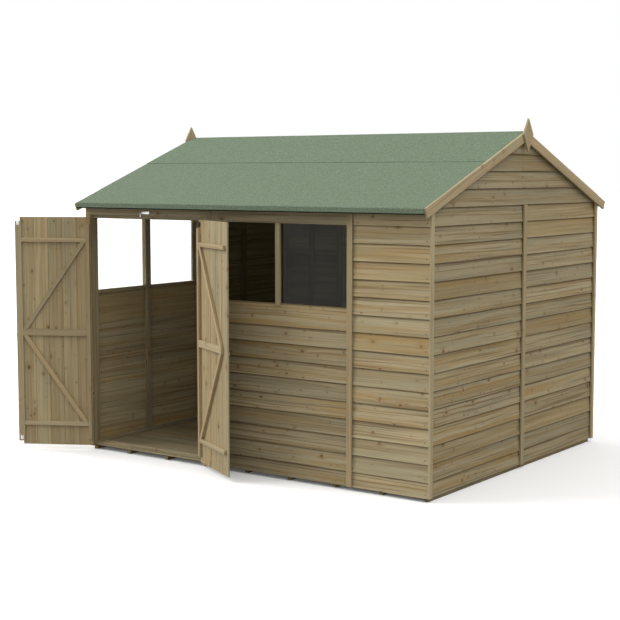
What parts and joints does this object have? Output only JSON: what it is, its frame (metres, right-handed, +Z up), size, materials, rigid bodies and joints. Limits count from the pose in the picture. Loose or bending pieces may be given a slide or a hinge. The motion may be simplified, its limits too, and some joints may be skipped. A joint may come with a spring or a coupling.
{
  "type": "wooden garden shed",
  "caption": "Garden shed in overlapped boards with a felted apex roof, a pair of ledged and braced doors on the long side, and glazed panels beside them.",
  "frame": {"origin": "ground level under the middle of the floor", "axes": "+X along the door side towards its plain panel end, +Y to the back, +Z up; the doors are on the -Y side"},
  "size_m": [3.4965, 2.9416, 2.4758],
  "materials": {
    "softwood": "rough sawn",
    "cladding": "rough sawn, pressure treated",
    "trim": "sawn, pressure treated",
    "door_boards": "planed tongued and grooved boards",
    "felt": "mineral-faced roofing felt, matte",
    "felt_edge": "edge board wrapped in mineral felt",
    "glazing": "clear",
    "black_iron": "black powder coat",
    "galvanised": "zinc plated"
  },
  "bodies": {
    "shed": {"floor_joists": "softwood", "floor_boards": "softwood", "front_wall_frame": "softwood", "back_wall_frame": "softwood", "left_gable_frame": "softwood", "right_gable_frame": "softwood", "left_gable_rafters": "softwood", "right_gable_rafters": "softwood", "doorway_cladding": "cladding", "front_window_cladding": "cladding", "front_plain_cladding": "cladding", "back_wall_cladding": "cladding", "right_gable_cladding": "cladding", "left_gable_cladding": "cladding", "left_gable_triangle": "cladding", "right_gable_triangle": "cladding", "roof_boards": "softwood", "roof_felt": "felt", "eaves_fascias": "felt_edge", "roof_purlins": "softwood", "left_bargeboards": "trim", "right_bargeboards": "trim", "left_finial": "trim", "right_finial": "trim", "corner_trims": "trim", "cover_strips": "trim", "front_window_glass": "glazing", "left_window_glass": "glazing", "window_mullions": "trim", "hinge_plates": "galvanised", "header_catch": "galvanised"},
    "left_door": {"left_door_boards": "door_boards", "left_door_frame": "trim", "left_door_hinges": "galvanised", "left_door_bolts": "galvanised", "left_door_loop": "galvanised"},
    "right_door": {"right_door_boards": "door_boards", "right_door_frame": "trim", "right_door_hinges": "galvanised", "right_door_ring": "galvanised", "right_door_buffer": "black_iron"}
  },
  "joints": [
    {"name": "left_door_hinge", "type": "hinge", "parent": "shed", "child": "left_door", "pos_m": [-1.4484, -1.267, 0.9], "axis": [0, 0, -1], "range_deg": [-151, 21]},
    {"name": "right_door_hinge", "type": "hinge", "parent": "shed", "child": "right_door", "pos_m": [-0.3656, -1.267, 0.9], "axis": [0, 0, 1], "range_deg": [-151, 21]}
  ]
}
